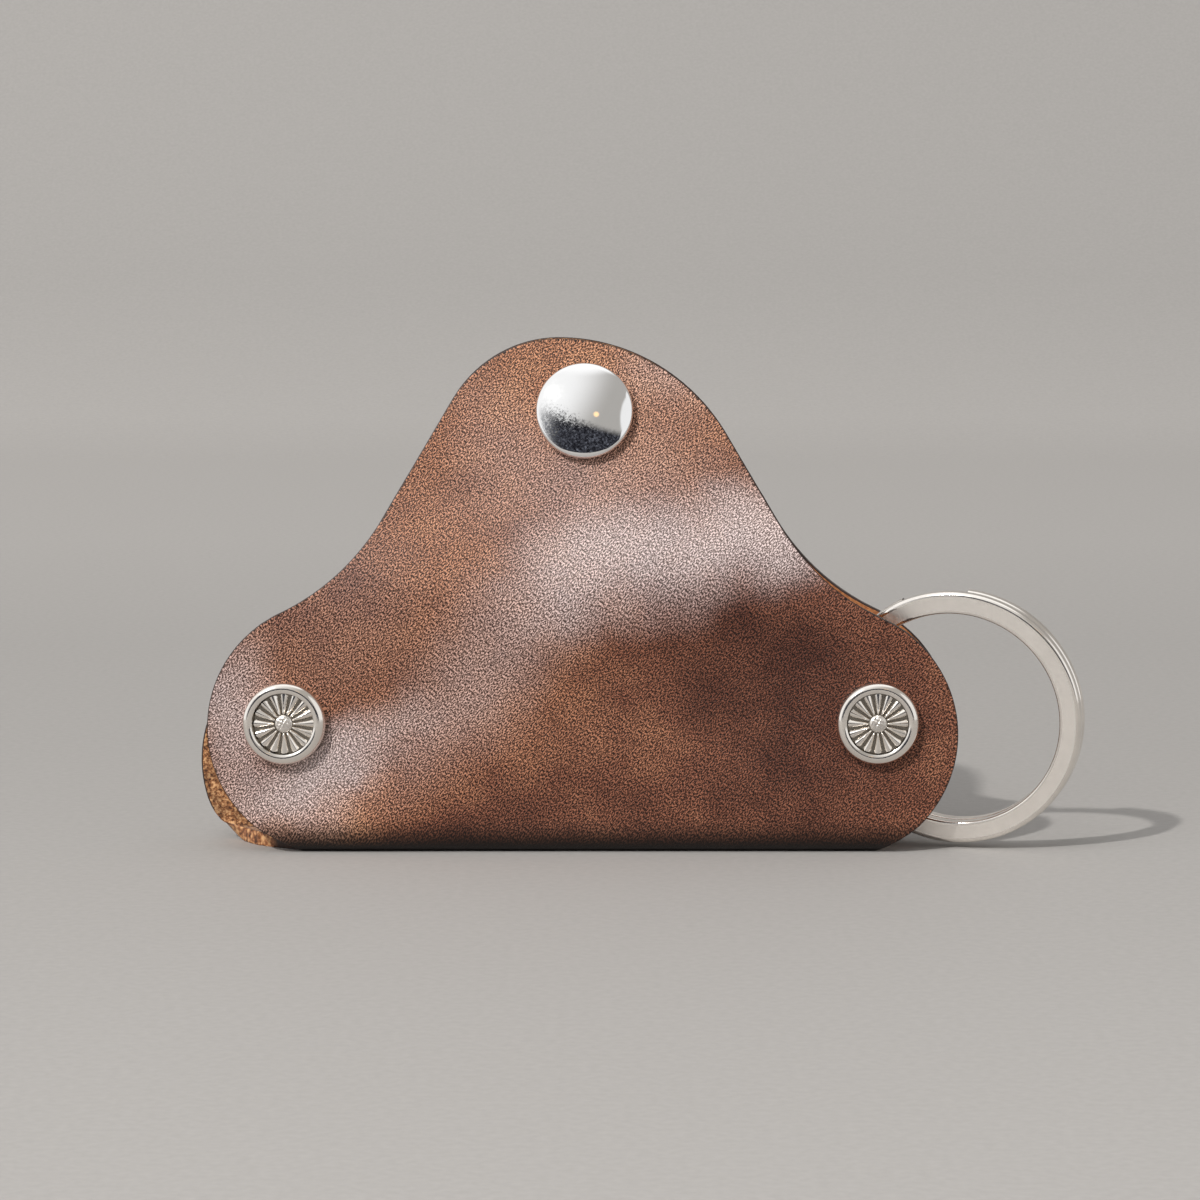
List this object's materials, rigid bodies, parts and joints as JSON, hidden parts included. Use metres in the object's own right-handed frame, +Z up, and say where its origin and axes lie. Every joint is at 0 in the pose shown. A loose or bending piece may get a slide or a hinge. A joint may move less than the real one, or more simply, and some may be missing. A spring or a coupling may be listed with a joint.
{
  "type": "key case",
  "caption": "Leather key case: one folded sheet with two bell-shaped panels, closed by a press stud, with screw posts for keys at the lower corners and a split ring.",
  "frame": {"origin": "middle of the flat foot under the fold, where the closed case stands", "axes": "+X to the right as seen from the front, +Y to the back, +Z up from the fold to the press stud"},
  "size_m": [0.1139, 0.0191, 0.0654],
  "materials": {
    "leather": "waxed brown pull-up leather with a fine grain, tan suede inside and dark burnished edges",
    "post_nickel": "polished nickel plate",
    "cap_chrome": "bright chrome plate",
    "stud_steel": "nickel-plated steel, stamped",
    "spring_steel": "bare spring steel",
    "ring_nickel": "satin nickel plate on flat spring steel wire"
  },
  "bodies": {
    "case": {"leather_body": "leather", "left_post": "post_nickel", "right_post": "post_nickel", "left_screw": "post_nickel", "right_screw": "post_nickel", "snap_stud": "stud_steel", "snap_eyelet": "post_nickel"},
    "flap": {"front_flap": "leather", "snap_cap": "cap_chrome", "snap_socket": "stud_steel", "snap_spring": "spring_steel"},
    "ring": {"key_ring": "ring_nickel"}
  },
  "joints": [
    {"name": "flap_open", "type": "hinge", "parent": "case", "child": "flap", "pos_m": [0, -0.00635, 0.03002], "axis": [1, 0, 0], "range_deg": [0, 60], "stiffness_Nm_per_rad": 0.05},
    {"name": "ring_swing", "type": "hinge", "parent": "case", "child": "ring", "pos_m": [0.0377, 0.0009, 0.0169], "axis": [-0.2008, -0.9796, -0.0098], "range_deg": [0, 140]}
  ]
}
